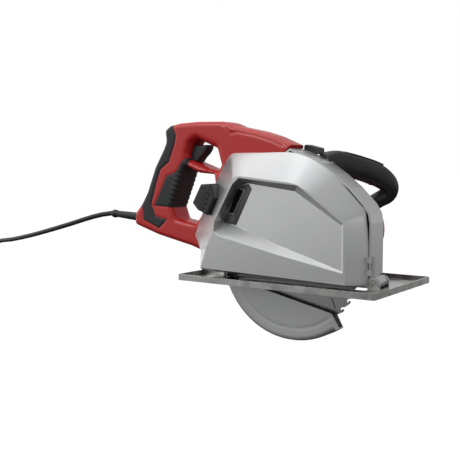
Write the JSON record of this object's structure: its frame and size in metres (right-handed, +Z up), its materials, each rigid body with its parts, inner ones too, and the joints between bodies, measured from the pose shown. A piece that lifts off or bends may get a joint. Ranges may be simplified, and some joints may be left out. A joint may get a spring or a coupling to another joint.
{
  "type": "circular saw",
  "caption": "Corded metal-cutting circular saw with a steel shoe, silver chip-collecting blade cover, sprung lower guard, red rear handle and black front handle.",
  "frame": {"origin": "on the shoe's sole, directly under the blade arbor, 30 mm to the motor side of the blade slot", "axes": "+X forwards along the cut, +Y towards the motor, +Z up; the sole is the plane z = 0"},
  "size_m": [1.1185, 0.2522, 0.3002],
  "materials": {
    "red_housing": "satin moulded nylon with a fine spark texture",
    "rubber_grip": "soft matt over-moulding",
    "black_plastic": "satin moulded",
    "cast_aluminium": "fine-blasted and silver painted",
    "guard_metal": "satin grey paint",
    "plated_steel": "bright plated, lightly brushed",
    "dark_steel": "dark phosphated",
    "blade_steel": "ground and lacquered",
    "brass": "bright",
    "copper": "lacquered winding",
    "carbon": "dull",
    "smoked_window": "clear smoked",
    "cord_rubber": "matt rubber jacket"
  },
  "bodies": {
    "saw_body": {"upper_guard": "cast_aluminium", "guard_spring": "plated_steel", "arbor_bearing_front": "plated_steel", "arbor_bearing_rear": "plated_steel", "armature_bearing_front": "plated_steel", "armature_bearing_rear": "plated_steel", "gear_cover": "cast_aluminium", "motor_housing": "red_housing", "motor_end_cap": "red_housing", "field_stator": "dark_steel", "brush_cap_a": "black_plastic", "brush_cap_b": "black_plastic", "carbon_brush_a": "carbon", "carbon_brush_b": "carbon", "handle_shell_near": "red_housing", "handle_shell_far": "red_housing", "rear_grip": "rubber_grip", "front_grip": "rubber_grip", "switch_module": "black_plastic", "trigger_spring": "plated_steel", "front_handle": "black_plastic", "front_handle_grip": "rubber_grip", "handle_screw_1": "dark_steel", "handle_screw_2": "dark_steel", "handle_screw_3": "dark_steel", "handle_screw_4": "dark_steel", "cap_screw_1": "dark_steel", "cap_screw_2": "dark_steel", "depth_stud": "plated_steel", "door_hinge_pin": "plated_steel", "spindle_lock_spring": "plated_steel", "strain_relief": "cord_rubber", "cord": "cord_rubber", "cord_coil": "cord_rubber", "cord_tail": "cord_rubber", "plug_body": "cord_rubber", "plug_pin_1": "brass", "plug_pin_2": "brass"},
    "shoe": {"shoe_plate": "plated_steel", "pivot_bracket": "plated_steel", "pivot_pin": "plated_steel", "depth_arm": "dark_steel"},
    "lower_guard": {"lower_guard": "guard_metal"},
    "arbor": {"arbor_shaft": "plated_steel", "driven_gear": "plated_steel", "inner_flange": "plated_steel", "blade": "blade_steel", "outer_flange": "plated_steel", "blade_bolt": "dark_steel"},
    "armature": {"armature_shaft": "plated_steel", "pinion": "dark_steel", "armature_core": "copper", "commutator": "copper", "cooling_fan": "black_plastic"},
    "trigger": {"trigger": "black_plastic"},
    "spindle_lock": {"spindle_lock_button": "black_plastic"},
    "depth_lever": {"depth_lever": "black_plastic"},
    "chip_door": {"chip_door": "cast_aluminium", "chip_window": "smoked_window"},
    "door_latch": {"door_latch": "black_plastic"}
  },
  "joints": [
    {"name": "depth_adjust", "type": "hinge", "parent": "saw_body", "child": "shoe", "pos_m": [0.122, -0.047, 0.0135], "axis": [0, 1, 0], "range_deg": [-25, 0]},
    {"name": "depth_clamp", "type": "hinge", "parent": "saw_body", "child": "depth_lever", "pos_m": [-0.12705, -0.014, 0.03529], "axis": [0, -1, 0], "range_deg": [0, 45]},
    {"name": "blade_spin", "type": "hinge", "parent": "saw_body", "child": "arbor", "pos_m": [0, -0.049, 0.0383], "axis": [0, 1, 0], "continuous": true},
    {"name": "armature_spin", "type": "hinge", "parent": "saw_body", "child": "armature", "pos_m": [0.0185, 0, 0.068], "axis": [0, 1, 0], "continuous": true},
    {"name": "lower_guard_retract", "type": "hinge", "parent": "saw_body", "child": "lower_guard", "pos_m": [0, -0.049, 0.0383], "axis": [0, 1, 0], "range_deg": [0, 105], "stiffness_Nm_per_rad": 0.15, "springref_deg": -57.3},
    {"name": "trigger_pull", "type": "slide", "parent": "saw_body", "child": "trigger", "axis": [-1, 0, 0], "range_m": [0, 0.005], "stiffness_N_per_m": 600, "springref_m": -0.004, "deforming": ["trigger_spring"]},
    {"name": "spindle_lock_press", "type": "slide", "parent": "saw_body", "child": "spindle_lock", "axis": [0, 0, -1], "range_m": [0, 0.004], "stiffness_N_per_m": 800, "springref_m": -0.003, "deforming": ["spindle_lock_spring"]},
    {"name": "chip_door_open", "type": "hinge", "parent": "saw_body", "child": "chip_door", "pos_m": [0.122, -0.06, 0.034], "axis": [0, 0, 1], "range_deg": [0, 100]},
    {"name": "door_latch_slide", "type": "slide", "parent": "chip_door", "child": "door_latch", "axis": [-0.9658, 0, 0.2594], "range_m": [0, 0.0025], "stiffness_N_per_m": 500, "springref_m": -0.003}
  ],
  "couplings": [
    {"joint": "armature_spin", "follows": "blade_spin", "ratio": -4.0909}
  ]
}
